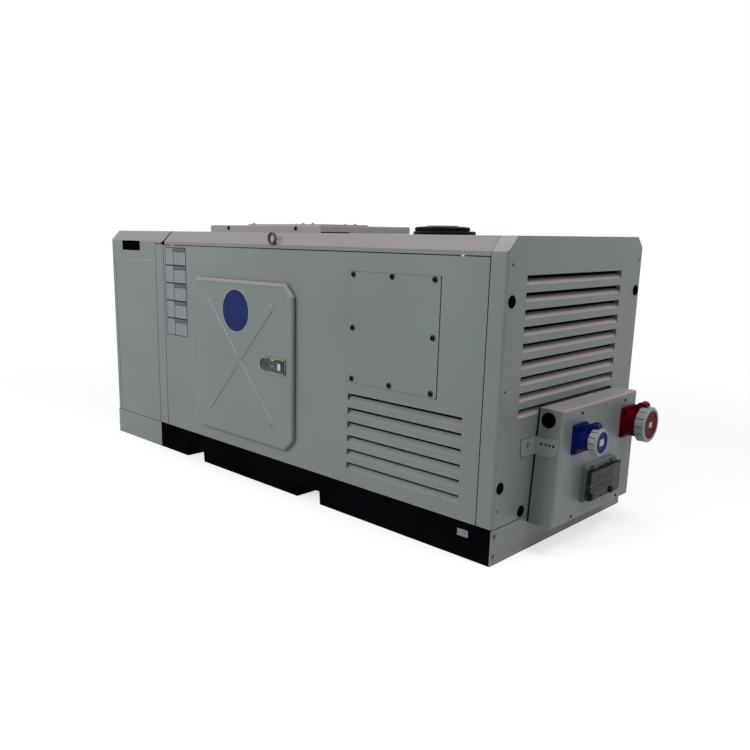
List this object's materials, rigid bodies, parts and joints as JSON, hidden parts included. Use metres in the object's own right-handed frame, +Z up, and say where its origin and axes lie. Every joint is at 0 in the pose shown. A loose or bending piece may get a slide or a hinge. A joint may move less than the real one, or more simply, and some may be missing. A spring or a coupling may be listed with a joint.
{
  "type": "enclosed diesel generator set",
  "caption": "Sound-proofed diesel generator set: sheet-metal canopy on a fork-pocket skid, side door with paddle latch, louvred ends, and a socket box with hinged socket lids.",
  "frame": {"origin": "on the ground under the middle of the canopy (the socket box stands out beyond it)", "axes": "+X along the set towards the socket end, +Y across it towards the rear side (the side without the opening door), +Z up"},
  "size_m": [2.169, 0.827, 0.93],
  "materials": {
    "canopy_grey": "light grey powder coat, semi-gloss",
    "base_black": "black paint, satin",
    "seal_rubber": "black rubber, matt",
    "cap_black": "black plastic, matt",
    "chrome": "polished chrome",
    "zinc_steel": "zinc-plated steel",
    "blue_plastic": "blue plastic, satin gloss",
    "red_plastic": "red plastic, satin gloss",
    "white_plastic": "off-white plastic",
    "window_grey": "grey plastic",
    "smoked_clear": "smoked clear plastic",
    "breaker_grey": "light grey plastic",
    "engine_paint": "dark painted casting",
    "alternator_paint": "dark grey painted casting",
    "radiator_black": "black painted fins"
  },
  "bodies": {
    "canopy": {"base_frame": "base_black", "base_end_plate": "canopy_grey", "left_skirt": "canopy_grey", "left_hood": "canopy_grey", "left_front_panel": "canopy_grey", "left_rear_panel": "canopy_grey", "left_end_panel": "canopy_grey", "front_left_post": "canopy_grey", "rear_left_post": "canopy_grey", "hood_seal": "seal_rubber", "roof": "canopy_grey", "roof_panel": "canopy_grey", "filler_neck": "cap_black", "filler_cap": "cap_black", "lifting_eyes": "zinc_steel", "front_panel_left": "canopy_grey", "front_panel_right": "canopy_grey", "door_header": "canopy_grey", "door_sill": "canopy_grey", "front_cover": "canopy_grey", "hinge_pintles": "canopy_grey", "rear_panel": "canopy_grey", "rear_door": "canopy_grey", "right_end_panel": "canopy_grey", "end_plugs": "cap_black", "socket_box": "canopy_grey", "socket_box_cover": "canopy_grey", "tab_plate": "canopy_grey", "blue_socket": "blue_plastic", "red_socket": "red_plastic", "breaker_frame": "window_grey", "breakers": "breaker_grey", "engine": "engine_paint", "alternator": "alternator_paint", "radiator": "radiator_black"},
    "front_door": {"front_door": "canopy_grey", "latch_plate": "chrome", "hinge_knuckles": "canopy_grey", "door_seal": "seal_rubber"},
    "latch_paddle": {"latch_paddle": "chrome"},
    "blue_lid": {"blue_lid": "blue_plastic", "blue_lid_ring": "white_plastic"},
    "red_lid": {"red_lid": "red_plastic", "red_lid_ring": "white_plastic"},
    "breaker_flap": {"breaker_flap": "smoked_clear"}
  },
  "joints": [
    {"name": "door_hinge", "type": "hinge", "parent": "canopy", "child": "front_door", "pos_m": [-0.393, -0.398, 0.445], "axis": [0, 0, -1], "range_deg": [0, 110]},
    {"name": "latch_pivot", "type": "hinge", "parent": "front_door", "child": "latch_paddle", "pos_m": [0.161, -0.413, 0.451], "axis": [0, 0, 1], "range_deg": [0, 35], "stiffness_Nm_per_rad": 0.4},
    {"name": "blue_lid_hinge", "type": "hinge", "parent": "canopy", "child": "blue_lid", "pos_m": [1.136, -0.096, 0.3825], "axis": [0, -1, 0], "range_deg": [0, 110]},
    {"name": "red_lid_hinge", "type": "hinge", "parent": "canopy", "child": "red_lid", "pos_m": [1.138, 0.207, 0.4], "axis": [0, -1, 0], "range_deg": [0, 110]},
    {"name": "flap_hinge", "type": "hinge", "parent": "canopy", "child": "breaker_flap", "pos_m": [1.1055, 0.038, 0.2385], "axis": [0, -1, 0], "range_deg": [0, 100]}
  ]
}
